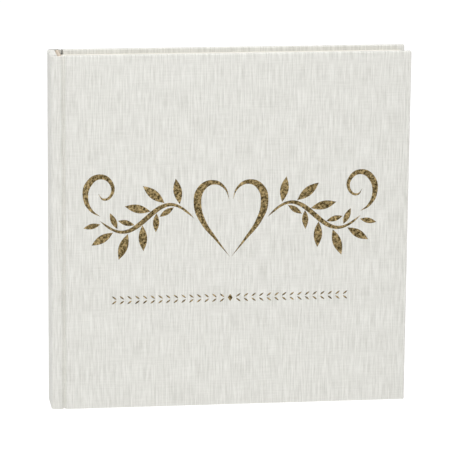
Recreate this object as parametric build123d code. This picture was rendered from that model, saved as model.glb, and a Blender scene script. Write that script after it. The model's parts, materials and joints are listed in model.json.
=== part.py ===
from build123d import *
import os
from math import atan2, cos, degrees, pi, radians, sin

# A square wedding guest book, case bound in linen and stamped in gold foil, standing on its tail.
# The frame: the spine is at -X and the fore edge at +X, the front cover faces -Y, the head is at +Z,
# and the book stands on z = 0 with the middle of its box at x = 0, y = 0. Sizes are in millimetres.

# The whole book, over its cloth
book_width = 230.0
book_height = 230.0

# The case: greyboard covered in linen
board_thickness = 3.0
spine_board_thickness = 2.8
cloth_thickness = 0.4
cloth_edge_radius = 0.7
turn_in = 15.0
spine_corner_radius = 3.2
joint_width = 1.8
joint_depth = 0.9
joint_slit = 0.2
lip_past_shoulder = 1.1

# The text block: sections of folded leaves, sewn through their folds
section_count = 11
leaves_per_section = 8
loose_leaf_count = 3
leaf_thickness = 0.21
endpaper_thickness = 0.25
leaf_gap = 0.06
square = 3.0
shoulder_width = 2.95
back_corner_radius = 0.8
shoulder_flat = 0.25

# What holds the back together
mull_thickness = 0.25
mull_flange_width = 24.0
mull_short_of_block = 8.0
lining_thickness = 0.3
spine_hollow = 1.6
band_tape_height = 12.0
band_bead_radius = 1.3
band_short_of_side = 1.2
thread_radius = 0.22
kerf_size = 0.5
station_count = 6
first_station_from_end = 14.0

# The foil, pressed into the front cover's cloth: each ornament's middle, and what it is drawn with
foil_depth = 0.08
flourish_middle = (0.0, 125.0)
flourish_reach = 94.0
leaf_spread = 52.0
leaf_slimness = 0.32
leaf_stand_off = 2.0
garland_middle = (0.0, 71.5)
garland_width = 154.0
garland_pairs_a_side = 15
garland_leaf_length = 3.9
garland_leaf_width = 1.0
garland_leaf_angle = 38.0
garland_stem_gap = 0.35
garland_diamond = (1.6, 2.4)

# The heart's right lobe, from its lower point up and over, and the stroke's width at each point
lobe_path = [
    (0.5, -26.5), (9.4, -15.0), (18.0, -3.0), (21.6, 8.8), (19.0, 18.6), (11.2, 22.4), (4.0, 18.4),
    (1.2, 11.0),
]
lobe_widths = [0, 1.6, 3.6, 4.9, 4.6, 2.9, 1.4, 0]

# The curl, counted from the flourish's outer end
curl_path = [
    (-10.5, 1.5), (-4.6, 5.6), (-1.0, 13.6), (-3.0, 23.0), (-10.2, 27.4), (-17.0, 23.5), (-17.6, 15.8),
    (-12.4, 12.6), (-9.0, 16.6),
]
curl_widths = [0, 1.8, 3.3, 4.1, 3.3, 2.5, 1.9, 1.3, 0]

# The vine beside the heart: where it starts and how far it runs, as shares of the reach, and its wave
vine_start = 0.25
vine_run = 0.645
vine_steps = 14
vine_waves = 0.98
vine_wave_height = 9.5
vine_wave_fade = 0.12
vine_drop = 1.0
vine_widths = (1.2, 3.1)

# The vine's leaves: place along the vine, side, and length
vine_leaves = [
    (0.15, 1, 17.0), (0.29, 1, 18.0), (0.43, 1, 17.0), (0.19, -1, 11.0), (0.40, -1, 12.5), (0.55, -1, 17.0),
    (0.69, -1, 18.0), (0.83, -1, 16.0), (0.60, 1, 11.0), (0.80, 1, 11.5), (0.96, -1, 11.0),
]

# Clearances
glue_gap = 0.05

# The front half of the stack, counted in from the front cover's outer face
cover_thickness = 2 * cloth_thickness + board_thickness + endpaper_thickness
flyleaf_depth = cover_thickness + leaf_gap
first_leaf_depth = flyleaf_depth + endpaper_thickness + leaf_gap
fixed_leaf_depth = first_leaf_depth + loose_leaf_count * (leaf_thickness + leaf_gap)
section_thickness = leaves_per_section * leaf_thickness
outer_section_thickness = (leaves_per_section - loose_leaf_count) * leaf_thickness
inner_sections_thickness = (section_count - 2) * section_thickness
book_thickness = 2 * (fixed_leaf_depth + outer_section_thickness) + inner_sections_thickness

half_width = book_width / 2
half_thickness = book_thickness / 2

# Places along X, from the spine in
spine_board_x = cloth_thickness - half_width
spine_board_inner_x = spine_board_x + spine_board_thickness
lining_x = spine_board_inner_x + spine_hollow
mull_x = lining_x + lining_thickness
back_x = mull_x + mull_thickness
gutter_x = back_x + shoulder_width
shoulder_x = back_x + back_corner_radius + shoulder_flat
joint_x = gutter_x + joint_slit / 2
hinge_x = joint_x + joint_slit / 2
spine_lip_x = shoulder_x + lip_past_shoulder
cover_lip_x = spine_lip_x + joint_width
board_spine_x = cover_lip_x + cloth_thickness
board_fore_x = half_width - cloth_thickness
leaf_fore_x = half_width - square

# Places along Z
leaf_tail_z = square
leaf_head_z = book_height - square

# Half thicknesses of the back: at the gutter, and where the shoulders stand out to carry the cloth
gutter_half = half_thickness - flyleaf_depth
shoulder_half = half_thickness - cloth_thickness - mull_thickness
flare = shoulder_half / gutter_half
spine_board_half = half_thickness - spine_corner_radius


def slab(x_range, y_range, z_range):
    """A box between two places on each axis."""
    spans = [(min(r), max(r)) for r in (x_range, y_range, z_range)]
    size = [high - low for low, high in spans]
    middle = [(high + low) / 2 for low, high in spans]
    return Pos(*middle) * Box(*size)


def upright(outline, z_low, z_high):
    """An outline in plan, drawn up from one height to another."""
    return Pos(0, 0, z_low) * extrude(outline, amount=z_high - z_low, dir=(0, 0, 1))


def plan_polygon(points):
    return make_face(Polyline(*points, close=True))


def plan_rectangle(x_low, x_high, half_y, spine_radius, joint_radius):
    """A rectangle in plan, rounded at its spine side and at its joint side."""
    plain = Pos((x_low + x_high) / 2, 0) * Rectangle(x_high - x_low, 2 * half_y)
    corners = plain.vertices().sort_by(Axis.X)
    rounded = fillet(corners[:2], spine_radius)
    if joint_radius > 0:
        rounded = fillet(rounded.vertices().sort_by(Axis.X)[-2:], joint_radius)
    return rounded


def block_back(outset):
    """The swollen back of the text block in plan, from the gutter to the spine, grown by outset."""
    gutter_y = gutter_half + outset
    shoulder_y = shoulder_half + outset
    outline = plan_polygon([
        (gutter_x, -gutter_y), (gutter_x, gutter_y), (shoulder_x, shoulder_y),
        (back_x - outset, shoulder_y), (back_x - outset, -shoulder_y), (shoulder_x, -shoulder_y),
    ])
    return fillet(outline.vertices().sort_by(Axis.X)[:2], back_corner_radius + outset)


def folded_back(y_low, y_high):
    """The folded edges of some leaves: flared out from the gutter, and flat where they are sewn."""
    outline = plan_polygon([
        (gutter_x, y_low), (gutter_x, y_high), (shoulder_x, y_high * flare),
        (back_x, y_high * flare), (back_x, y_low * flare), (shoulder_x, y_low * flare),
    ])
    return upright(outline, leaf_tail_z, leaf_head_z) & upright(block_back(0), leaf_tail_z, leaf_head_z)


def station_heights():
    """Heights of the sewing stations, evenly spaced between the two kettle stitches."""
    low = leaf_tail_z + first_station_from_end
    high = leaf_head_z - first_station_from_end
    return [low + (high - low) * i / (station_count - 1) for i in range(station_count)]


def kerfs():
    """Shallow saw cuts across the folds, in which the sewing thread lies."""
    span = (-shoulder_half - square, shoulder_half + square)
    depth = (back_x - kerf_size, back_x + kerf_size)
    return [slab(depth, span, (z - kerf_size / 2, z + kerf_size / 2)) for z in station_heights()]


def make_sections():
    """The sewn sections: the outermost two carry their first leaves loose, so they are thinner here."""
    sections = []
    low = fixed_leaf_depth - half_thickness
    for number in range(1, section_count + 1):
        outer = number in (1, section_count)
        high = low + (outer_section_thickness if outer else section_thickness)
        fold_low = -gutter_half + endpaper_thickness if number == 1 else low
        fold_high = gutter_half - endpaper_thickness if number == section_count else high
        leaves = slab((gutter_x, leaf_fore_x), (low, high), (leaf_tail_z, leaf_head_z))
        sections.append(folded_back(fold_low, fold_high) + leaves - kerfs())
        low = high
    return sections


def make_sewing_thread():
    """One run of thread across the back at each station."""
    length = 2 * (shoulder_half - back_corner_radius)
    x = back_x + kerf_size / 2
    runs = [Pos(x, 0, z) * Rot(90, 0, 0) * Cylinder(thread_radius, length) for z in station_heights()]
    return Compound(children=runs)


def make_mull():
    """The gauze glued over the backs and shoulders."""
    low = leaf_tail_z + mull_short_of_block
    high = leaf_head_z - mull_short_of_block
    return upright(block_back(mull_thickness), low, high) - upright(block_back(0), low, high)


def make_lining():
    """The paper glued over the gauze, between the tapes of the two bands."""
    low = leaf_tail_z + band_tape_height + glue_gap
    high = leaf_head_z - band_tape_height - glue_gap
    return slab((lining_x, mull_x), (-spine_board_half, spine_board_half), (low, high))


def make_headband():
    """A woven band: its tape is glued to the back and its bead sits on the leaves' head edges."""
    half_length = shoulder_half - band_short_of_side
    bead_z = leaf_head_z + glue_gap + band_bead_radius
    bead_x = mull_x - glue_gap + band_bead_radius
    bead = Pos(bead_x, 0, bead_z) * Rot(90, 0, 0) * Cylinder(band_bead_radius, 2 * half_length)
    tape_y = (-spine_board_half, spine_board_half)
    tape = slab((lining_x, mull_x), tape_y, (leaf_head_z - band_tape_height, bead_z))
    return bead + tape


def turned_to_tail(piece):
    """The same piece at the book's other end."""
    return Pos(0, 0, book_height / 2) * (Pos(0, 0, -book_height / 2) * piece).mirror(Plane.XY)


def turned_to_back(piece):
    """The same piece on the book's other side."""
    return piece.mirror(Plane.XZ)


def make_spine_cloth():
    """The linen over the spine and shoulders, with its half of each joint, and turned in at both ends."""
    inner_x = spine_lip_x - cloth_thickness
    inner_y = half_thickness - cloth_thickness
    inner_radius = spine_corner_radius - cloth_thickness
    joint_inner = half_thickness - joint_depth - cloth_thickness
    outer = plan_rectangle(-half_width, spine_lip_x, half_thickness, spine_corner_radius, cloth_edge_radius)
    inner = plan_rectangle(spine_board_x, inner_x, inner_y, inner_radius, 0)
    wall = upright(outer, 0, book_height) - upright(inner, 0, book_height)
    wall -= slab((inner_x, joint_x), (-joint_inner, joint_inner), (0, book_height))
    for side in (-1, 1):
        floor_y = (side * joint_inner, side * (half_thickness - joint_depth))
        wall += slab((inner_x, gutter_x), floor_y, (0, book_height))

    # Turned in: over the ends of the spine board, and doubled along the shoulders past the block
    board_y = (-spine_board_half, spine_board_half)
    folded_x = spine_board_inner_x + cloth_thickness
    hollow_x = spine_board_x + cloth_thickness
    hollow_y = inner_y - cloth_thickness
    hollow = plan_rectangle(hollow_x, inner_x, hollow_y, inner_radius - cloth_thickness, 0)
    fold_low = leaf_head_z + glue_gap
    doubled = upright(inner, fold_low, book_height) - upright(hollow, fold_low, book_height)
    doubled -= slab((spine_board_x, 0), board_y, (fold_low, book_height))
    cap = slab((spine_board_x, folded_x), board_y, (book_height - cloth_thickness, book_height))
    inside = slab((spine_board_inner_x, folded_x), board_y, (book_height - turn_in, book_height))
    for piece in (doubled, cap, inside):
        wall = wall + piece + turned_to_tail(piece)
    return wall


def make_spine_board():
    ends = (cloth_thickness, book_height - cloth_thickness)
    return slab((spine_board_x, spine_board_inner_x), (-spine_board_half, spine_board_half), ends)


# The front cover's layers, from its outer face in
board_y = cloth_thickness - half_thickness
board_inner_y = board_y + board_thickness
turn_in_y = board_inner_y + cloth_thickness
cover_inner_y = cover_thickness - half_thickness

# The bare board inside the cover, between the turned-in cloth and the gauze
bare_x = (cover_lip_x + mull_flange_width, half_width - turn_in)
bare_z = (turn_in, book_height - turn_in)


def make_board():
    ends = (cloth_thickness, book_height - cloth_thickness)
    return slab((board_spine_x, board_fore_x), (board_y, board_inner_y), ends)


def make_cover_cloth():
    """The linen over one cover: its outer face, edges and turned-in margins, and its half of the joint."""
    joint_floor_y = joint_depth - half_thickness
    below_joint_y = joint_floor_y + cloth_thickness
    case = slab((cover_lip_x, half_width), (-half_thickness, turn_in_y), (0, book_height))
    case = fillet(case.edges(), cloth_edge_radius)
    case -= make_board()
    case -= slab((cover_lip_x, bare_x[1]), (board_inner_y, turn_in_y), bare_z)
    case -= slab((cover_lip_x, board_spine_x), (below_joint_y, turn_in_y), (0, book_height))
    ends = (cloth_edge_radius, book_height - cloth_edge_radius)
    return case + slab((hinge_x, cover_lip_x + cloth_thickness), (joint_floor_y, below_joint_y), ends)


def make_mull_flange():
    """The gauze's free edge, glued to the inside of the board."""
    return slab((board_spine_x, bare_x[0]), (board_inner_y, turn_in_y), bare_z)


def make_pastedown():
    """The endpaper's glued half, which dips onto the bare board between the turned-in margins."""
    rim = slab((cover_lip_x, half_width - square), (turn_in_y, cover_inner_y), (leaf_tail_z, leaf_head_z))
    dip = slab(bare_x, (board_inner_y, cover_inner_y), bare_z)
    inset = endpaper_thickness
    hollow_x = (bare_x[0] + inset, bare_x[1] - inset)
    hollow_z = (bare_z[0] + inset, bare_z[1] - inset)
    return rim + dip - slab(hollow_x, (board_inner_y + inset, cover_inner_y), hollow_z)


def make_endpaper_fold():
    """The strip of endpaper glued over the first section's fold."""
    return folded_back(-gutter_half, -gutter_half + endpaper_thickness)


def make_leaf(depth, thickness):
    """A leaf that turns by itself, at its depth behind the front cover's face."""
    y = depth - half_thickness
    return slab((joint_x, leaf_fore_x), (y, y + thickness), (leaf_tail_z, leaf_head_z))


def loose_leaf_depth(number):
    return first_leaf_depth + (number - 1) * (leaf_thickness + leaf_gap)


# The foil is drawn flat, in (along the cover, up the cover), about the middle of each ornament
def swash(spine_points, widths):
    """A calligraphic stroke: pointed at both ends, and as wide as given at each point between."""
    left = []
    right = []
    for i, (x, y) in enumerate(spine_points):
        before = spine_points[max(i - 1, 0)]
        after = spine_points[min(i + 1, len(spine_points) - 1)]
        along = (Vector(*after) - Vector(*before)).normalized()
        across = Vector(-along.Y, along.X) * (widths[i] / 2)
        left.append((x + across.X, y + across.Y))
        right.append((x - across.X, y - across.Y))
    return make_face(Spline(*left) + Spline(*right))


def leaf_shape(x, y, length, width, angle):
    """A pointed leaf, with its stalk end at (x, y)."""
    tip = (length, 0)
    outline = ThreePointArc((0, 0), (length / 2, width / 2), tip) + ThreePointArc(
        tip, (length / 2, -width / 2), (0, 0))
    return Pos(x, y) * Rot(0, 0, angle) * make_face(outline)


def both_sides(shapes):
    return shapes + [shape.mirror(Plane.YZ) for shape in shapes]


def vine_point(t):
    """The vine beside the heart: a rising and falling wave, t from 0 at the heart to 1 at its end."""
    wave = sin(2 * pi * vine_waves * t) * (1 - vine_wave_fade * t)
    return (flourish_reach * (vine_start + vine_run * t), vine_wave_height * wave - vine_drop * (1 - t))


def vine_leaf(t, side, length):
    """A leaf that grows from one side of the vine, with its stalk end just clear of it."""
    x, y = vine_point(t)
    ahead_x, ahead_y = vine_point(t + 1 / 100)
    angle = atan2(ahead_y - y, ahead_x - x) + side * radians(leaf_spread)
    stalk = (x + leaf_stand_off * cos(angle), y + leaf_stand_off * sin(angle))
    return leaf_shape(*stalk, length, length * leaf_slimness, degrees(angle))


def flourish_shapes():
    """Two heart lobes, a vine to each side with leaves along it, and a curl at each end."""
    least, most = vine_widths
    swell = [least + (most - least) * sin(pi * i / vine_steps) ** 2 for i in range(1, vine_steps)]
    vine = swash([vine_point(i / vine_steps) for i in range(vine_steps + 1)], [0] + swell + [0])
    leaves = [vine_leaf(t, side, length) for t, side, length in vine_leaves]
    curl = swash([(flourish_reach + x, y) for x, y in curl_path], curl_widths)
    return both_sides([swash(lobe_path, lobe_widths), vine, curl] + leaves)


def garland_shapes():
    """A garland: pairs of small leaves that point outwards, and a diamond in the middle."""
    leaves = []
    pitch = garland_width / 2 / (garland_pairs_a_side + 1 / 2)
    for i in range(garland_pairs_a_side):
        x = pitch * (i + 3 / 4)
        for side in (-1, 1):
            y = side * garland_stem_gap
            angle = side * garland_leaf_angle
            leaves.append(leaf_shape(x, y, garland_leaf_length, garland_leaf_width, angle))
    across, up = garland_diamond
    diamond = make_face(Polyline((across, 0), (0, up), (-across, 0), (0, -up), close=True))
    return both_sides(leaves) + [diamond]


def stamped(shapes, middle):
    """Foil shapes stood up on the front cover's face and pressed into its cloth."""
    x, z = middle
    stand = Pos(x, foil_depth - half_thickness, z) * Rot(90, 0, 0)
    return Compound(children=[stand * extrude(shape, amount=foil_depth, dir=(0, 0, 1)) for shape in shapes])


flourish = stamped(flourish_shapes(), flourish_middle)
garland = stamped(garland_shapes(), garland_middle)

front = {
    "cover_cloth": make_cover_cloth(),
    "board": make_board(),
    "mull_flange": make_mull_flange(),
    "pastedown": make_pastedown(),
    "endpaper_fold": make_endpaper_fold(),
    "flyleaf": make_leaf(flyleaf_depth, endpaper_thickness),
}
for number in range(1, loose_leaf_count + 1):
    front[f"leaf_{number}"] = make_leaf(loose_leaf_depth(number), leaf_thickness)

nodes = {
    "spine_cloth": make_spine_cloth(),
    "spine_board": make_spine_board(),
    "spine_lining": make_lining(),
    "mull": make_mull(),
    "headband": make_headband(),
    "tailband": turned_to_tail(make_headband()),
    "sewing_thread": make_sewing_thread(),
}
for number, section in enumerate(make_sections(), start=1):
    nodes[f"section_{number}"] = section
for name, piece in front.items():
    nodes[f"front_{name}"] = piece
    nodes[f"back_{name}"] = turned_to_back(piece)
nodes["front_cover_cloth"] = front["cover_cloth"] - flourish - garland
nodes["foil_flourish"] = flourish
nodes["foil_garland"] = garland

os.makedirs("parts", exist_ok=True)
for name, piece in nodes.items():
    export_step(piece, f"parts/{name}.step")
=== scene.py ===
import bpy
import json
import random
from math import atan2, cos, pi, radians, sin
from mathutils import Matrix, Vector


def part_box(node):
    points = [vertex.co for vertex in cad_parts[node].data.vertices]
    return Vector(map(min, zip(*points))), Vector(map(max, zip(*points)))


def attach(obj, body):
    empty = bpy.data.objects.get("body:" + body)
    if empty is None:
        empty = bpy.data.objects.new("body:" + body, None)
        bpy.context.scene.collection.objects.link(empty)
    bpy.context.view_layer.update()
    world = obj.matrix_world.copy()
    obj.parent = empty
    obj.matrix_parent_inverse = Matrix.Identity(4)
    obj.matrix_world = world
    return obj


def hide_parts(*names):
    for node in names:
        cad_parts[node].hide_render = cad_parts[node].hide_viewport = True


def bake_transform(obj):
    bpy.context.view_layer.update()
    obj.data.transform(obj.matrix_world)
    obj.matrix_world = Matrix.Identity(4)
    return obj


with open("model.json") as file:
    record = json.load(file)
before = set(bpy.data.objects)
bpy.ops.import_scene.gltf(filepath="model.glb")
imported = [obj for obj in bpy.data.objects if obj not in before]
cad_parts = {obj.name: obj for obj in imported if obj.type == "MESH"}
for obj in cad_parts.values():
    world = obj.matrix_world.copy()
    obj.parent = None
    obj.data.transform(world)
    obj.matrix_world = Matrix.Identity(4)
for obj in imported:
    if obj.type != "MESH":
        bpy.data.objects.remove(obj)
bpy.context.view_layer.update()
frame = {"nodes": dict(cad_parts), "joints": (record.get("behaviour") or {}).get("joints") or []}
mm = 0.001
random.seed(7)

# The book's own places, all from the frame: spine at -X, front cover at -Y, head at +Z
coverLow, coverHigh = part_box("front_cover_cloth")
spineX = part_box("spine_cloth")[0].x
pasteLow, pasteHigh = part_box("front_pastedown")
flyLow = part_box("front_flyleaf")[0]
foldLow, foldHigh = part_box("front_endpaper_fold")
jointX = next(j for j in frame["joints"] if j["name"] == "front_cover_hinge")["pos_m"][0]
frontY = coverLow.y
headZ = coverHigh.z
foreX = coverHigh.x
flare = foldLow.y / flyLow.y  # how much wider the sewn back is than the block
flareRun = 1.9 * mm
shoulderX = foldHigh.x - flareRun  # where the flare ends and the sewn back runs straight


# Small helpers: deselect, start a piece, open it for editing, and pick parts of it by place

def deselectAll():
    if bpy.context.object and bpy.context.object.mode != "OBJECT":
        bpy.ops.object.mode_set(mode="OBJECT")
    bpy.ops.object.select_all(action="DESELECT")


def cubeBetween(name, low, high):
    deselectAll()
    low, high = Vector(low), Vector(high)
    bpy.ops.mesh.primitive_cube_add(size=1, location=(low + high) / 2)
    piece = bpy.context.object
    piece.name = piece.data.name = name
    piece.scale = high - low
    bpy.ops.object.transform_apply(location=True, rotation=True, scale=True)
    return piece


def makeActive(piece):
    deselectAll()
    piece.select_set(True)
    bpy.context.view_layer.objects.active = piece


def pick(piece, kind, test):
    makeActive(piece)
    bpy.context.tool_settings.mesh_select_mode = [kind == mode for mode in ("VERT", "EDGE", "FACE")]
    mesh = piece.data
    for group in (mesh.vertices, mesh.edges, mesh.polygons):
        group.foreach_set("select", [False] * len(group))
    if kind == "FACE":
        for face in mesh.polygons:
            face.select = test(face.center, face.normal)
    elif kind == "EDGE":
        for edge in mesh.edges:
            edge.select = test(*(mesh.vertices[i].co for i in edge.vertices))
    else:
        for vert in mesh.vertices:
            vert.select = test(vert.co)
    bpy.ops.object.mode_set(mode="EDIT")


def extrudeBy(step):
    bpy.ops.mesh.extrude_region_move(TRANSFORM_OT_translate={"value": Vector(step)})


def cutAcross(piece, axis, places):
    # Straight cuts through the whole piece, square to one axis
    normal = [0, 0, 0]
    normal[axis] = 1
    for place in places:
        point = [0, 0, 0]
        point[axis] = place
        makeActive(piece)
        bpy.ops.object.mode_set(mode="EDIT")
        bpy.ops.mesh.select_all(action="SELECT")
        bpy.ops.mesh.bisect(plane_co=point, plane_no=normal)
    bpy.ops.object.mode_set(mode="OBJECT")


def addModifier(piece, kind, **settings):
    makeActive(piece)
    modifier = piece.modifiers.new(kind.title(), kind)
    for key, value in settings.items():
        setattr(modifier, key, value)
    bpy.ops.object.modifier_apply(modifier=modifier.name)


def smooth(piece, angle=35):
    makeActive(piece)
    bpy.ops.object.shade_smooth_by_angle(angle=radians(angle))


def copyOf(piece, name):
    made = piece.copy()
    made.data = piece.data.copy()
    made.name = made.data.name = name
    bpy.context.scene.collection.objects.link(made)
    return made


def mirrored(piece, name, scale, middle):
    # A mirrored copy, with its faces turned out again
    made = copyOf(piece, name)
    makeActive(made)
    bpy.ops.object.mode_set(mode="EDIT")
    bpy.ops.mesh.select_all(action="SELECT")
    bpy.ops.transform.resize(value=scale, center_override=middle)
    bpy.ops.mesh.flip_normals()
    bpy.ops.object.mode_set(mode="OBJECT")
    return made


def turnedToBack(piece, name):
    return mirrored(piece, name, (1, -1, 1), (0, 0, 0))


def turnedToTail(piece, name):
    return mirrored(piece, name, (1, 1, -1), (0, 0, headZ / 2))


def clothUv(piece):
    # The cloth's own flat measure in metres: it runs on round the fore edge, the head and the spine
    mesh = piece.data
    while mesh.uv_layers:
        mesh.uv_layers.remove(mesh.uv_layers[0])
    layer = mesh.uv_layers.new(name="flat")
    for face in mesh.polygons:
        across = abs(face.normal.x) > max(abs(face.normal.y), abs(face.normal.z))
        along = not across and abs(face.normal.z) > abs(face.normal.y)
        for loop in face.loop_indices:
            co = mesh.vertices[mesh.loops[loop].vertex_index].co
            depth = min(abs(co.y - frontY), abs(co.y + frontY))
            u, v = co.x, co.z
            if across:
                u += depth if face.center.x > 0 else -depth
            if along:
                v += depth if face.center.z > headZ / 2 else -depth
            layer.data[loop].uv = (u, v)


def finishPiece(piece, material):
    piece.data.materials.clear()
    piece.data.materials.append(material)


# Materials

class Shader:
    # One material, and short calls for the nodes that it is made of
    def __init__(self, name, **values):
        self.material = bpy.data.materials.new(name)
        self.material.use_nodes = True
        self.tree = self.material.node_tree
        self.body = self.tree.nodes["Principled BSDF"]
        for key, value in values.items():
            self.body.inputs[key.replace("_", " ")].default_value = value

    def node(self, kind, **settings):
        made = self.tree.nodes.new("ShaderNode" + kind)
        for key, value in settings.items():
            setattr(made, key, value)
        return made

    def join(self, source, target):
        self.tree.links.new(source, target)

    def give(self, value, target):
        if isinstance(value, bpy.types.NodeSocket):
            self.join(value, target)
        else:
            target.default_value = value

    def math(self, operation, a, b=0.0, c=0.0):
        made = self.node("Math", operation=operation)
        for i, value in enumerate((a, b, c)):
            self.give(value, made.inputs[i])
        return made.outputs[0]

    def coords(self, kind, scale):
        source = self.node("TexCoord").outputs[kind]
        mapping = self.node("Mapping")
        self.join(source, mapping.inputs["Vector"])
        mapping.inputs["Scale"].default_value = scale
        return mapping.outputs[0]

    def noise(self, vector, scale, detail=2.0, roughness=0.5):
        made = self.node("TexNoise")
        self.join(vector, made.inputs["Vector"])
        made.inputs["Scale"].default_value = scale
        made.inputs["Detail"].default_value = detail
        made.inputs["Roughness"].default_value = roughness
        return made.outputs[0]

    def spread(self, value, low, high, newLow, newHigh):
        made = self.node("MapRange")
        for i, number in enumerate((value, low, high, newLow, newHigh)):
            self.give(number, made.inputs[i])
        return made.outputs[0]

    def mix(self, share, a, b):
        made = self.node("Mix", data_type="RGBA")
        self.give(share, made.inputs[0])
        self.give(a, made.inputs[6])
        self.give(b, made.inputs[7])
        return made.outputs[2]

    def bump(self, height, strength, distance, under=None):
        made = self.node("Bump")
        made.inputs["Strength"].default_value = strength
        made.inputs["Distance"].default_value = distance
        self.join(height, made.inputs["Height"])
        if under:
            self.join(under, made.inputs["Normal"])
        return made.outputs[0]

    def colour(self, value):
        self.give(value, self.body.inputs["Base Color"])

    def normal(self, value):
        self.join(value, self.body.inputs["Normal"])


weave = {"pitch": 0.46 * mm, "wander": 0.35, "slubLength": 16 * mm, "slubWidth": 0.9 * mm}


def weaveHeights(shader, u, v):
    # Plain weave: each thread goes over one and under the next, u and v counted in threads
    half = shader.math("MULTIPLY", u, pi)
    up = shader.math("MULTIPLY", v, pi)
    warpBody = shader.math("ABSOLUTE", shader.math("SINE", half))
    weftBody = shader.math("ABSOLUTE", shader.math("SINE", up))
    warpTurn = shader.math("MULTIPLY", shader.math("FLOOR", u), pi)
    weftTurn = shader.math("MULTIPLY", shader.math("ADD", shader.math("FLOOR", v), 1.0), pi)
    warpOver = shader.math("COSINE", shader.math("ADD", shader.math("SUBTRACT", up, pi / 2), warpTurn))
    weftOver = shader.math("COSINE", shader.math("ADD", shader.math("SUBTRACT", half, pi / 2), weftTurn))
    warp = shader.math("MULTIPLY", warpBody, shader.math("MULTIPLY_ADD", warpOver, 0.35, 0.65))
    weft = shader.math("MULTIPLY", weftBody, shader.math("MULTIPLY_ADD", weftOver, 0.35, 0.65))
    return warp, weft


def wovenCloth(shader, kind, axes):
    # Returns the weave's height, and the slubs: thicker stretches of single threads
    flat = shader.coords(kind, (1, 1, 1))
    parts = shader.node("SeparateXYZ")
    shader.join(flat, parts.inputs[0])
    u, v = (parts.outputs[i] for i in axes)
    drift = shader.noise(flat, 160.0, 2.0)
    wander = shader.math("MULTIPLY", shader.math("SUBTRACT", drift, 0.5), 2 * weave["wander"])
    threadU = shader.math("ADD", shader.math("DIVIDE", u, weave["pitch"]), wander)
    threadV = shader.math("ADD", shader.math("DIVIDE", v, weave["pitch"]), wander)
    warp, weft = weaveHeights(shader, threadU, threadV)
    slubs = []
    for along, across in ((v, u), (u, v)):
        place = shader.node("CombineXYZ")
        shader.join(shader.math("DIVIDE", across, weave["slubWidth"]), place.inputs[0])
        shader.join(shader.math("DIVIDE", along, weave["slubLength"]), place.inputs[1])
        place.inputs[2].default_value = 3.0 if along is v else 11.0
        slubs.append(shader.noise(place.outputs[0], 1.0, 3.0, 0.62))
    return shader.math("MAXIMUM", warp, weft), slubs[0], slubs[1]


def makeLinen():
    look = {
        "light": (0.852, 0.846, 0.80, 1), "dark": (0.60, 0.593, 0.546, 1),
        "upright": (0.62, -0.22), "level": (0.16, -0.08),  # how much each way's slubs darken the cloth
    }
    linen = Shader("bookLinen", Roughness=0.88, Sheen_Weight=0.15, Sheen_Roughness=0.6)
    linen.body.inputs["Specular IOR Level"].default_value = 0.25
    height, upright, level = wovenCloth(linen, "UV", (0, 1))
    # Painted shade: the weave's hollows are darkened by up to 0.30 of the way to the dark colour; the slub
    # streaks and bars below are the cloth's own tone
    hollowShade = linen.spread(height, 0.0, 1.0, 0.30, 0.0)
    streak = linen.spread(upright, 0.3, 0.7, *look["upright"])
    bar = linen.spread(level, 0.3, 0.7, *look["level"])
    share = linen.math("ADD", linen.math("ADD", hollowShade, streak), bar)
    linen.colour(linen.mix(linen.spread(share, 0.0, 1.0, 0.0, 1.0), look["light"], look["dark"]))
    slubs = linen.math("ADD", upright, linen.math("MULTIPLY", level, 0.6))
    coarse = linen.bump(slubs, 0.5, 0.25 * mm)
    linen.normal(linen.bump(height, 0.6, 0.12 * mm, coarse))
    return linen.material


def makeFoil():
    # The near-black gold is a painted dark reflection of the studio around the foil, and the light colour is
    # painted glints
    look = {"gold": (0.035, 0.023, 0.007, 1), "paintedGlint": (0.72, 0.54, 0.26, 1)}
    foil = Shader("goldFoil", Metallic=1.0, Roughness=0.36)
    height = wovenCloth(foil, "Object", (0, 2))[0]
    speckle = foil.noise(foil.coords("Object", (1, 1, 1)), 700.0, 3.0, 0.75)
    # Where the painted glints fall: on the speckle and on the weave's raised threads
    glintMask = foil.math("ADD", foil.math("MULTIPLY", speckle, 0.75), foil.math("MULTIPLY", height, 0.35))
    foil.colour(foil.mix(foil.spread(glintMask, 0.56, 0.72, 0.0, 1.0), look["gold"], look["paintedGlint"]))
    press = foil.bump(height, 0.7, 0.12 * mm)
    foil.normal(foil.bump(speckle, 0.8, 0.08 * mm, press))
    return foil.material


def makePaper(name, light, dark, roughness=0.8):
    paper = Shader(name, Roughness=roughness)
    paper.body.inputs["Specular IOR Level"].default_value = 0.3
    fibre = paper.noise(paper.coords("Object", (1, 1, 1)), 900.0, 4.0, 0.65)
    cloud = paper.noise(paper.coords("Object", (1, 1, 1)), 35.0, 2.0)
    share = paper.math("ADD", paper.math("MULTIPLY", fibre, 0.6), paper.math("MULTIPLY", cloud, 0.4))
    paper.colour(paper.mix(paper.spread(share, 0.3, 0.7, 0.0, 1.0), light, dark))
    paper.normal(paper.bump(fibre, 0.25, 0.05 * mm))
    return paper.material


def makeBandSilk():
    look = {"tan": (0.56, 0.42, 0.29, 1), "cream": (0.80, 0.73, 0.62, 1), "stripe": 0.84 * mm}
    silk = Shader("bandSilk", Roughness=0.55, Sheen_Weight=0.3)
    parts = silk.node("SeparateXYZ")
    silk.join(silk.coords("Object", (1, 1, 1)), parts.inputs[0])
    wave = silk.math("SINE", silk.math("MULTIPLY", parts.outputs[1], 2 * pi / look["stripe"]))
    silk.colour(silk.mix(silk.spread(wave, -0.25, 0.25, 0.0, 1.0), look["tan"], look["cream"]))
    strand = silk.noise(silk.coords("Object", (200, 4000, 200)), 1.0, 2.0)
    silk.normal(silk.bump(strand, 0.4, 0.05 * mm))
    return silk.material


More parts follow.
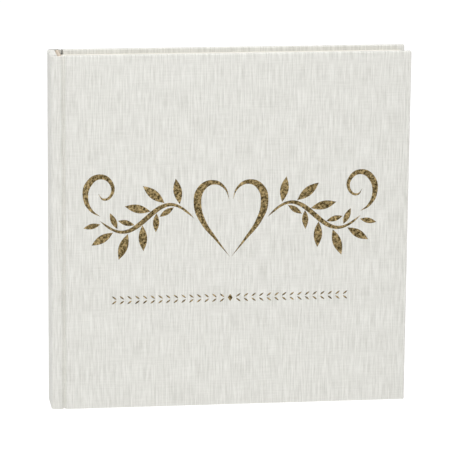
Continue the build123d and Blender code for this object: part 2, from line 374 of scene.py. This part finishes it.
def makeBoard():
    look = {"light": (0.42, 0.40, 0.36, 1), "dark": (0.28, 0.27, 0.24, 1)}
    board = Shader("greyBoard", Roughness=0.9)
    flecks = board.noise(board.coords("Object", (1, 1, 1)), 1400.0, 4.0, 0.7)
    share = board.spread(flecks, 0.35, 0.65, 0.0, 1.0)
    board.colour(board.mix(share, look["light"], look["dark"]))
    board.normal(board.bump(flecks, 0.4, 0.1 * mm))
    return board.material


def makeGauze():
    gauze = Shader("gauze", Roughness=0.9)
    height = wovenCloth(gauze, "Object", (1, 2))[0]
    # Painted shade: darker in the weave's hollows, lighter on its raised threads
    gauze.colour(gauze.mix(height, (0.50, 0.46, 0.38, 1), (0.80, 0.77, 0.68, 1)))
    gauze.normal(gauze.bump(height, 0.8, 0.2 * mm))
    return gauze.material


linen = makeLinen()
goldFoil = makeFoil()
pagePaper = makePaper("pagePaper", (0.90, 0.88, 0.83, 1), (0.85, 0.825, 0.765, 1))
endPaper = makePaper("endPaper", (0.84, 0.81, 0.74, 1), (0.79, 0.76, 0.68, 1), 0.7)
kraftPaper = makePaper("kraftPaper", (0.42, 0.30, 0.18, 1), (0.33, 0.23, 0.13, 1))
waxedThread = makePaper("waxedThread", (0.75, 0.70, 0.58, 1), (0.62, 0.56, 0.44, 1), 0.5)
bandSilk = makeBandSilk()
greyBoard = makeBoard()
gauze = makeGauze()

cadLooks = {
    "spine_board": greyBoard, "front_board": greyBoard, "back_board": greyBoard,
    "spine_lining": kraftPaper, "sewing_thread": waxedThread,
    "mull": gauze, "front_mull_flange": gauze, "back_mull_flange": gauze,
}
for node, material in cadLooks.items():
    frame["nodes"][node].data.materials.clear()
    frame["nodes"][node].data.materials.append(material)
print("materials made")


# The case cloth: each half covers one board, its joint and half of the spine

case = {
    "thickness": 0.4 * mm, "edgeRadius": 0.7 * mm, "turnIn": 15 * mm,
    "grooveBack": 2.2 * mm, "grooveFore": 1.5 * mm, "grooveDepth": 1.9 * mm, "grooveSteps": 14,
    "spineRadius": 3.2 * mm, "lipDepth": 0.25 * mm, "lipDown": 2.6 * mm,
}


def makeCaseCloth():
    radius = case["edgeRadius"]
    flatX = jointX + case["grooveFore"]
    cloth = cubeBetween("front_case_cloth", (flatX, frontY, 0), (foreX, coverHigh.y, headZ))
    pick(cloth, "EDGE", lambda a, b: max(a.x, b.x) > flatX + mm)
    bpy.ops.mesh.bevel(offset=radius, segments=4, profile=0.5, affect="EDGES")

    # Open the spine side, and the middle of the inner face, where the turned-in margins end
    marginX, marginZ = foreX - case["turnIn"], case["turnIn"]
    cutAcross(cloth, 0, [marginX])
    cutAcross(cloth, 2, [marginZ, headZ - marginZ])
    pick(cloth, "FACE", lambda c, n: n.x < -0.9)
    bpy.ops.mesh.delete(type="FACE")
    pick(cloth, "FACE", lambda c, n: n.y > 0.9 and c.x < marginX and marginZ < c.z < headZ - marginZ)
    bpy.ops.mesh.delete(type="FACE")

    # From the board's edge: down into the groove and up again, along the shoulder, and round the spine
    def atFlatX(a, b):
        return max(a.x, b.x) < flatX + 0.01 * mm and max(a.y, b.y) < frontY + radius + 0.01 * mm
    pick(cloth, "EDGE", atFlatX)
    half = case["grooveSteps"] // 2
    depths = [case["grooveDepth"] * (0.5 - 0.5 * cos(pi * i / half)) for i in range(2 * half + 1)]
    for i in range(2 * half):
        width = case["grooveFore"] if i < half else case["grooveBack"]
        extrudeBy((-width / half, depths[i + 1] - depths[i], 0))
    bend = case["spineRadius"]
    extrudeBy((spineX + bend - (jointX - case["grooveBack"]), 0, 0))
    bpy.ops.mesh.spin(steps=10, angle=pi / 2, center=(spineX + bend, frontY + bend, 0), axis=(0, 0, 1))
    extrudeBy((0, -(frontY + bend), 0))

    # The doubled lip at the head and tail of the spine
    for end in (0, headZ):
        def onLip(a, b):
            level = abs(a.z - end) < 0.01 * mm and abs(b.z - end) < 0.01 * mm
            return level and max(a.x, b.x) < flatX + 0.01 * mm and min(a.x, b.x) < flatX - 0.01 * mm
        pick(cloth, "EDGE", onLip)
        extrudeBy((0, 0, 0))  # a new ring of points, which the resize draws in
        reachX = flatX - spineX - radius
        reachY = -frontY - radius
        inward = (1 - case["lipDepth"] / reachX, 1 - case["lipDepth"] / reachY, 1)
        bpy.ops.transform.resize(value=inward, center_override=(flatX, 0, end))
        extrudeBy((0, 0, case["lipDown"] * (1 if end == 0 else -1)))

    pick(cloth, "VERT", lambda co: True)
    bpy.ops.mesh.remove_doubles(threshold=0.001 * mm)
    bpy.ops.mesh.normals_make_consistent(inside=False)
    bpy.ops.object.mode_set(mode="OBJECT")
    return cloth


def thickenCloth(cloth):
    addModifier(cloth, "SOLIDIFY", thickness=case["thickness"], offset=-1, use_rim=True, use_even_offset=True)
    smooth(cloth, 40)
    clothUv(cloth)


frontCloth = makeCaseCloth()
thickenCloth(frontCloth)
backCloth = turnedToBack(frontCloth, "back_case_cloth")
for cloth, side in ((frontCloth, "front"), (backCloth, "back")):
    finishPiece(cloth, linen)
    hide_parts(f"{side}_cover_cloth", "spine_cloth")
    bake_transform(cloth)
print("case cloth made")


# The headcaps: the spine cloth's two ends, turned in over the spine board and bulging towards the bands

headcap = {"turnIn": 15 * mm, "clearOfLip": 0.3 * mm, "clearOfLining": 0.2 * mm, "round": 0.35 * mm}


def makeHeadcap():
    boardLow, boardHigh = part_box("spine_board")
    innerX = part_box("spine_lining")[0].x - headcap["clearOfLining"]
    low = (boardHigh.x, boardLow.y, headZ - headcap["turnIn"])
    piece = cubeBetween("head_headcap", low, (innerX, boardHigh.y, headZ))
    cutAcross(piece, 2, [boardHigh.z])
    pick(piece, "FACE", lambda c, n: n.x < -0.9 and c.z > boardHigh.z)
    extrudeBy((boardLow.x + headcap["clearOfLip"] - boardHigh.x, 0, 0))
    pick(piece, "EDGE", lambda a, b: min(a.x, b.x) > innerX - 0.01 * mm and min(a.z, b.z) > headZ - 0.01 * mm)
    bpy.ops.mesh.bevel(offset=headcap["round"], segments=4, profile=0.5, affect="EDGES")
    bpy.ops.object.mode_set(mode="OBJECT")
    smooth(piece)
    return piece


headHeadcap = makeHeadcap()
for piece in (headHeadcap, turnedToTail(headHeadcap, "tail_headcap")):
    clothUv(piece)
    finishPiece(piece, linen)
    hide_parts("spine_cloth")
    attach(piece, "root")
print("headcaps made")


# The block: every leaf is its own sheet, a hair uneven at its edges, and flares out at the sewn back

block = {
    "leaves": 8, "outerLeaves": 5,
    "leaf": 0.2 * mm, "pitch": 0.21 * mm, "uneven": 0.06 * mm, "clearOfLoose": 0.07 * mm,
    "bendSteps": 14, "bendEnd": 10 * mm,
}


def unevenEdges(piece, yLow, yHigh):
    # Slides one leaf's fore edge, head and tail by a hair
    def nudge(test, axis):
        pick(piece, "VERT", lambda co: yLow <= co.y <= yHigh and test(co))
        step = [0, 0, 0]
        step[axis] = random.uniform(-1, 1) * block["uneven"]
        bpy.ops.transform.translate(value=step)
    nudge(lambda co: co.x > 0, 0)
    nudge(lambda co: co.z > headZ / 2, 2)
    nudge(lambda co: co.z < headZ / 2, 2)
    bpy.ops.object.mode_set(mode="OBJECT")


def flareBack(piece):
    pick(piece, "VERT", lambda co: co.x < shoulderX + 0.01 * mm)
    bpy.ops.transform.resize(value=(1, flare, 1), center_override=(0, 0, 0))
    bpy.ops.object.mode_set(mode="OBJECT")


def makeSection(node, firstY, count):
    leafLow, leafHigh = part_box("front_leaf_1")
    low = (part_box(node)[0].x, firstY, leafLow.z)
    high = (leafHigh.x, firstY + block["leaf"], leafHigh.z)
    piece = cubeBetween(node.replace("section", "sewn_section"), low, high)
    cutAcross(piece, 0, (foldHigh.x, shoulderX))
    addModifier(
        piece, "ARRAY", count=count, use_relative_offset=False, use_constant_offset=True,
        constant_offset_displace=(0, block["pitch"], 0))
    for i in range(count):
        leafY = firstY + i * block["pitch"]
        unevenEdges(piece, leafY - 0.002 * mm, leafY + block["leaf"] + 0.002 * mm)
    flareBack(piece)
    finishPiece(piece, pagePaper)
    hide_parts(node)
    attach(piece, "root")


# From the front: the outer two sections have three of their leaves loose
sectionCount = sum(node.startswith("section_") for node in frame["nodes"])
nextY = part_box("front_leaf_3")[1].y + block["clearOfLoose"]
for number in range(1, sectionCount + 1):
    isOuter = number in (1, sectionCount)
    leafCount = block["outerLeaves"] if isOuter else block["leaves"]
    makeSection(f"section_{number}", nextY, leafCount)
    nextY += leafCount * block["pitch"]
print("sections made")


def makeLooseLeaf(node):
    low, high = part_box(node)
    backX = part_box("section_1")[0].x
    piece = cubeBetween(f"{node}_sheet", (backX, low.y, low.z), high)
    steps = block["bendSteps"]
    bends = [jointX - mm + (block["bendEnd"] + mm) * i / steps for i in range(steps + 1)]
    cutAcross(piece, 0, [shoulderX, foldHigh.x] + bends)
    unevenEdges(piece, low.y - mm, high.y + mm)
    flareBack(piece)
    smooth(piece, 30)
    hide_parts(node)
    return piece


for side in ("front", "back"):
    for kind in ("flyleaf", "leaf_1", "leaf_2", "leaf_3"):
        node = f"{side}_{kind}"
        sheet = makeLooseLeaf(node)
        isFly = kind == "flyleaf"
        finishPiece(sheet, endPaper if isFly else pagePaper)
        if isFly:
            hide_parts(f"{side}_endpaper_fold")
        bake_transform(sheet)
print("loose leaves made")


# The pastedowns: glued over the turned-in margins, whose step shows through, and folded into the gutter

pastedown = {
    "thickness": 0.25 * mm, "margin": 12 * mm, "step": 0.8 * mm, "dip": 0.3 * mm,
    "pastJoint": 1.2 * mm, "gutterSteps": 16,
}


def makePastedown():
    gutterX = jointX - pastedown["pastJoint"]
    low = (jointX + mm, pasteLow.y, pasteLow.z)
    piece = cubeBetween("front_pastedown_sheet", low, pasteHigh)
    pick(piece, "FACE", lambda c, n: n.y < 0.9)
    bpy.ops.mesh.delete(type="FACE")
    pick(piece, "FACE", lambda c, n: True)
    bpy.ops.mesh.inset(thickness=pastedown["margin"], depth=0, use_boundary=True)
    bpy.ops.mesh.inset(thickness=pastedown["step"], depth=0, use_boundary=True)
    bpy.ops.transform.translate(value=(0, -pastedown["dip"], 0))
    pick(piece, "EDGE", lambda a, b: max(a.x, b.x) < jointX + 1.01 * mm)
    steps = pastedown["gutterSteps"]
    for i in range(steps):
        extrudeBy(((gutterX - jointX - mm) / steps, 0, 0))
    bpy.ops.object.mode_set(mode="OBJECT")
    addModifier(piece, "SOLIDIFY", thickness=pastedown["thickness"], offset=-1, use_rim=True)
    smooth(piece, 20)
    return piece


frontPaste = makePastedown()
backPaste = turnedToBack(frontPaste, "back_pastedown_sheet")
for sheet, side in ((frontPaste, "front"), (backPaste, "back")):
    finishPiece(sheet, endPaper)
    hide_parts(f"{side}_pastedown")
    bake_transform(sheet)
print("pastedowns made")


# Head and tail bands: a corded bead wound with silk over the leaves' edges, on a tape glued to the back

band = {"bead": 1.3 * mm, "windings": 44, "waist": 0.86}


def makeBand(node):
    low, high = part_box(node)
    isHead = low.z > headZ / 2
    radius = band["bead"]
    beadZ = high.z - radius if isHead else low.z + radius
    beadX = high.x - radius
    length = high.y - low.y
    deselectAll()
    bpy.ops.mesh.primitive_cylinder_add(
        vertices=20, radius=radius, depth=length, location=(beadX, 0, beadZ), rotation=(pi / 2, 0, 0))
    piece = bpy.context.object
    piece.name = piece.data.name = f"{node}_silk"
    bpy.ops.object.transform_apply(location=True, rotation=True, scale=True)
    pitch = length / band["windings"]
    places = [low.y + pitch * (i + 0.5) for i in range(band["windings"])]
    cutAcross(piece, 1, places)
    waists = places[::2]
    pick(piece, "VERT", lambda co: min(abs(co.y - place) for place in waists) < 0.01 * mm)
    bpy.ops.transform.resize(value=(band["waist"], 1, band["waist"]), center_override=(beadX, 0, beadZ))
    bpy.ops.object.mode_set(mode="OBJECT")
    addModifier(piece, "BEVEL", width=0.05 * mm, segments=1, limit_method="ANGLE", angle_limit=radians(60))
    smooth(piece, 50)
    tapeZ = (low.z, beadZ) if isHead else (beadZ, high.z)
    tape = cubeBetween("tape", (low.x, low.y + mm, tapeZ[0]), (low.x + 0.3 * mm, high.y - mm, tapeZ[1]))
    makeActive(piece)
    tape.select_set(True)
    bpy.ops.object.join()
    finishPiece(piece, bandSilk)
    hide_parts(node)
    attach(piece, "root")


makeBand("headband")
makeBand("tailband")
print("bands made")


# The gold ornament, drawn flat about its middle in millimetres and then stood up on the front cover

foil = {
    "raise": 0.03, "pressed": 0.05, "leafSpread": 52, "leafSlim": 0.32, "standOff": 2.0,
    "leafOutline": [  # share of the length, share of half the width
        (0, 0), (0.28, 0.78), (0.5, 1), (0.72, 0.78), (1, 0), (0.72, -0.78), (0.5, -1), (0.28, -0.78)],
}
flourish = {
    "middle": (0.0, 125.0), "reach": 94.0,
    "lobe": [
        (0.5, -26.5), (9.4, -15), (18, -3), (21.6, 8.8), (19, 18.6), (11.2, 22.4), (4, 18.4), (1.2, 11)],
    "lobeWidths": [0, 1.6, 3.6, 4.9, 4.6, 2.9, 1.4, 0],
    "curl": [  # counted from the outer end
        (-10.5, 1.5), (-4.6, 5.6), (-1, 13.6), (-3, 23), (-10.2, 27.4), (-17, 23.5), (-17.6, 15.8),
        (-12.4, 12.6), (-9, 16.6)],
    "curlWidths": [0, 1.8, 3.3, 4.1, 3.3, 2.5, 1.9, 1.3, 0],
    "vineStart": 0.25, "vineRun": 0.645, "vineSteps": 14, "vineWidths": (1.2, 3.1),
    "waves": 0.98, "waveHeight": 9.5, "waveFade": 0.12, "drop": 1.0,
    "leaves": [  # place along the vine, side, length
        (0.15, 1, 17), (0.29, 1, 18), (0.43, 1, 17), (0.19, -1, 11), (0.40, -1, 12.5), (0.55, -1, 17),
        (0.69, -1, 18), (0.83, -1, 16), (0.60, 1, 11), (0.80, 1, 11.5), (0.96, -1, 11)],
}
garland = {
    "middle": (0.0, 71.5), "width": 154.0, "pairs": 15, "length": 3.9, "leafWidth": 1.0, "angle": 38,
    "stemGap": 0.35, "diamond": (1.6, 2.4),
}


def addOutline(curve, points, pointed):
    # One closed outline; pointed says which of its points are sharp
    spline = curve.splines.new("BEZIER")
    spline.bezier_points.add(len(points) - 1)
    spline.use_cyclic_u = True
    spline.resolution_u = 6
    for i, (x, y) in enumerate(points):
        point = spline.bezier_points[i]
        point.co = (x * mm, y * mm, 0)
        point.handle_left_type = point.handle_right_type = "VECTOR" if i in pointed else "AUTO"


def addSwash(curve, path, widths, flip):
    left, right = [], []
    for i, (x, y) in enumerate(path):
        before, after = path[max(i - 1, 0)], path[min(i + 1, len(path) - 1)]
        angle = atan2(after[1] - before[1], after[0] - before[0]) + pi / 2
        reach = widths[i] / 2
        left.append((x + reach * cos(angle), y + reach * sin(angle)))
        right.append((x - reach * cos(angle), y - reach * sin(angle)))
    outline = left + right[-2:0:-1]
    addOutline(curve, [(flip * x, y) for x, y in outline], (0, len(path) - 1))


def addLeaf(curve, x, y, length, width, angle, flip):
    outline = []
    for along, across in foil["leafOutline"]:
        dx, dy = along * length, across * width / 2
        turnedX = x + dx * cos(angle) - dy * sin(angle)
        outline.append((flip * turnedX, y + dx * sin(angle) + dy * cos(angle)))
    addOutline(curve, outline, (0, 4))


def vinePoint(t):
    wave = sin(2 * pi * flourish["waves"] * t) * (1 - flourish["waveFade"] * t)
    x = flourish["reach"] * (flourish["vineStart"] + flourish["vineRun"] * t)
    return (x, flourish["waveHeight"] * wave - flourish["drop"] * (1 - t))


def drawFlourish(curve):
    steps = flourish["vineSteps"]
    least, most = flourish["vineWidths"]
    vine = [vinePoint(i / steps) for i in range(steps + 1)]
    swell = [0] + [least + (most - least) * sin(pi * i / steps) ** 2 for i in range(1, steps)] + [0]
    curl = [(flourish["reach"] + x, y) for x, y in flourish["curl"]]
    for flip in (1, -1):
        addSwash(curve, flourish["lobe"], flourish["lobeWidths"], flip)
        addSwash(curve, vine, swell, flip)
        addSwash(curve, curl, flourish["curlWidths"], flip)
        for t, side, length in flourish["leaves"]:
            x, y = vinePoint(t)
            aheadX, aheadY = vinePoint(t + 0.01)
            angle = atan2(aheadY - y, aheadX - x) + side * radians(foil["leafSpread"])
            x += foil["standOff"] * cos(angle)
            y += foil["standOff"] * sin(angle)
            addLeaf(curve, x, y, length, length * foil["leafSlim"], angle, flip)


def drawGarland(curve):
    pitch = garland["width"] / 2 / (garland["pairs"] + 0.5)
    for flip in (1, -1):
        for i in range(garland["pairs"]):
            for side in (-1, 1):
                x, y = pitch * (i + 0.75), side * garland["stemGap"]
                angle = side * radians(garland["angle"])
                addLeaf(curve, x, y, garland["length"], garland["leafWidth"], angle, flip)
    across, up = garland["diamond"]
    addOutline(curve, [(across, 0), (0, up), (-across, 0), (0, -up)], (0, 1, 2, 3))


def stampFoil(name, node, draw, middle):
    deselectAll()
    bpy.ops.curve.primitive_bezier_curve_add()
    drawn = bpy.context.object
    drawn.data.splines.clear()
    drawn.data.dimensions = "2D"
    drawn.data.fill_mode = "BOTH"
    drawn.data.extrude = (foil["raise"] + foil["pressed"]) / 2 * mm
    draw(drawn.data)
    bpy.ops.object.convert(target="MESH")
    piece = bpy.context.object
    piece.name = piece.data.name = name
    x, z = middle
    piece.location = (x * mm, frontY + (foil["pressed"] - foil["raise"]) / 2 * mm, z * mm)
    piece.rotation_euler = (pi / 2, 0, 0)
    bpy.ops.object.transform_apply(location=True, rotation=True, scale=True)
    pick(piece, "VERT", lambda co: True)
    bpy.ops.mesh.remove_doubles(threshold=0.002 * mm)
    bpy.ops.mesh.normals_make_consistent(inside=False)
    bpy.ops.object.mode_set(mode="OBJECT")
    finishPiece(piece, goldFoil)
    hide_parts(node)
    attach(piece, "front_cover")


stampFoil("gold_flourish", "foil_flourish", drawFlourish, flourish["middle"])
stampFoil("gold_garland", "foil_garland", drawGarland, garland["middle"])
print("foil stamped")


# Floor, light and camera

studio = {
    "floorSize": 12.0, "floorGrey": 0.25, "floorGlow": 0.94, "skyStrength": 0.3,
    "softboxes": {  # place, what it is turned to, side, watts
        "keyBox": ((-0.84, -1.8, 1.25), (0, 0, 0.11), 0.6, 13.2),
        "topBox": ((0.0, -0.12, 1.6), (0, 0, 0.2), 0.9, 16),
    },
    "yaw": 7.98, "pitch": 13.14, "roll": 0.53, "lens": 241.0,
    "eye": (-0.1509, -1.8884, 0.5618),  # from the front cover's lower spine corner
}


def makeFloor():
    deselectAll()
    bpy.ops.mesh.primitive_plane_add(size=studio["floorSize"])
    floor = bpy.context.object
    floor.name = "paleFloor"
    look = Shader("paleFloor", Roughness=1.0, Emission_Strength=studio["floorGlow"])
    look.body.inputs["Base Color"].default_value = (*[studio["floorGrey"]] * 3, 1)
    look.body.inputs["Emission Color"].default_value = (1, 1, 1, 1)
    look.body.inputs["Specular IOR Level"].default_value = 0
    floor.data.materials.append(look.material)


def addSoftbox(name, place, target, size, power):
    bpy.ops.object.light_add(type="AREA", location=place)
    lamp = bpy.context.object
    lamp.name = name
    lamp.data.shape = "SQUARE"
    lamp.data.size = size
    lamp.data.energy = power
    lamp.rotation_euler = (Vector(target) - Vector(place)).to_track_quat("-Z", "Y").to_euler()


makeFloor()
deselectAll()
world = bpy.data.worlds.new("studioSky")
bpy.context.scene.world = world
world.use_nodes = True
world.node_tree.nodes["Background"].inputs["Color"].default_value = (1, 1, 1, 1)
world.node_tree.nodes["Background"].inputs["Strength"].default_value = studio["skyStrength"]
for name, settings in studio["softboxes"].items():
    addSoftbox(name, *settings)

bpy.ops.object.camera_add()
camera = bpy.context.object
camera.data.sensor_width = 36
camera.data.lens = studio["lens"]
camera.data.clip_end = 50
yaw, pitch, roll = (radians(studio[key]) for key in ("yaw", "pitch", "roll"))
ahead = Vector((sin(yaw) * cos(pitch), cos(yaw) * cos(pitch), -sin(pitch)))
turn = ahead.to_track_quat("-Z", "Y").to_matrix().to_4x4() @ Matrix.Rotation(roll, 4, "Z")
camera.matrix_world = Matrix.Translation(Vector((spineX, frontY, 0)) + Vector(studio["eye"])) @ turn
bpy.context.scene.camera = camera
bpy.context.scene.view_settings.view_transform = "Standard"
print("studio made")
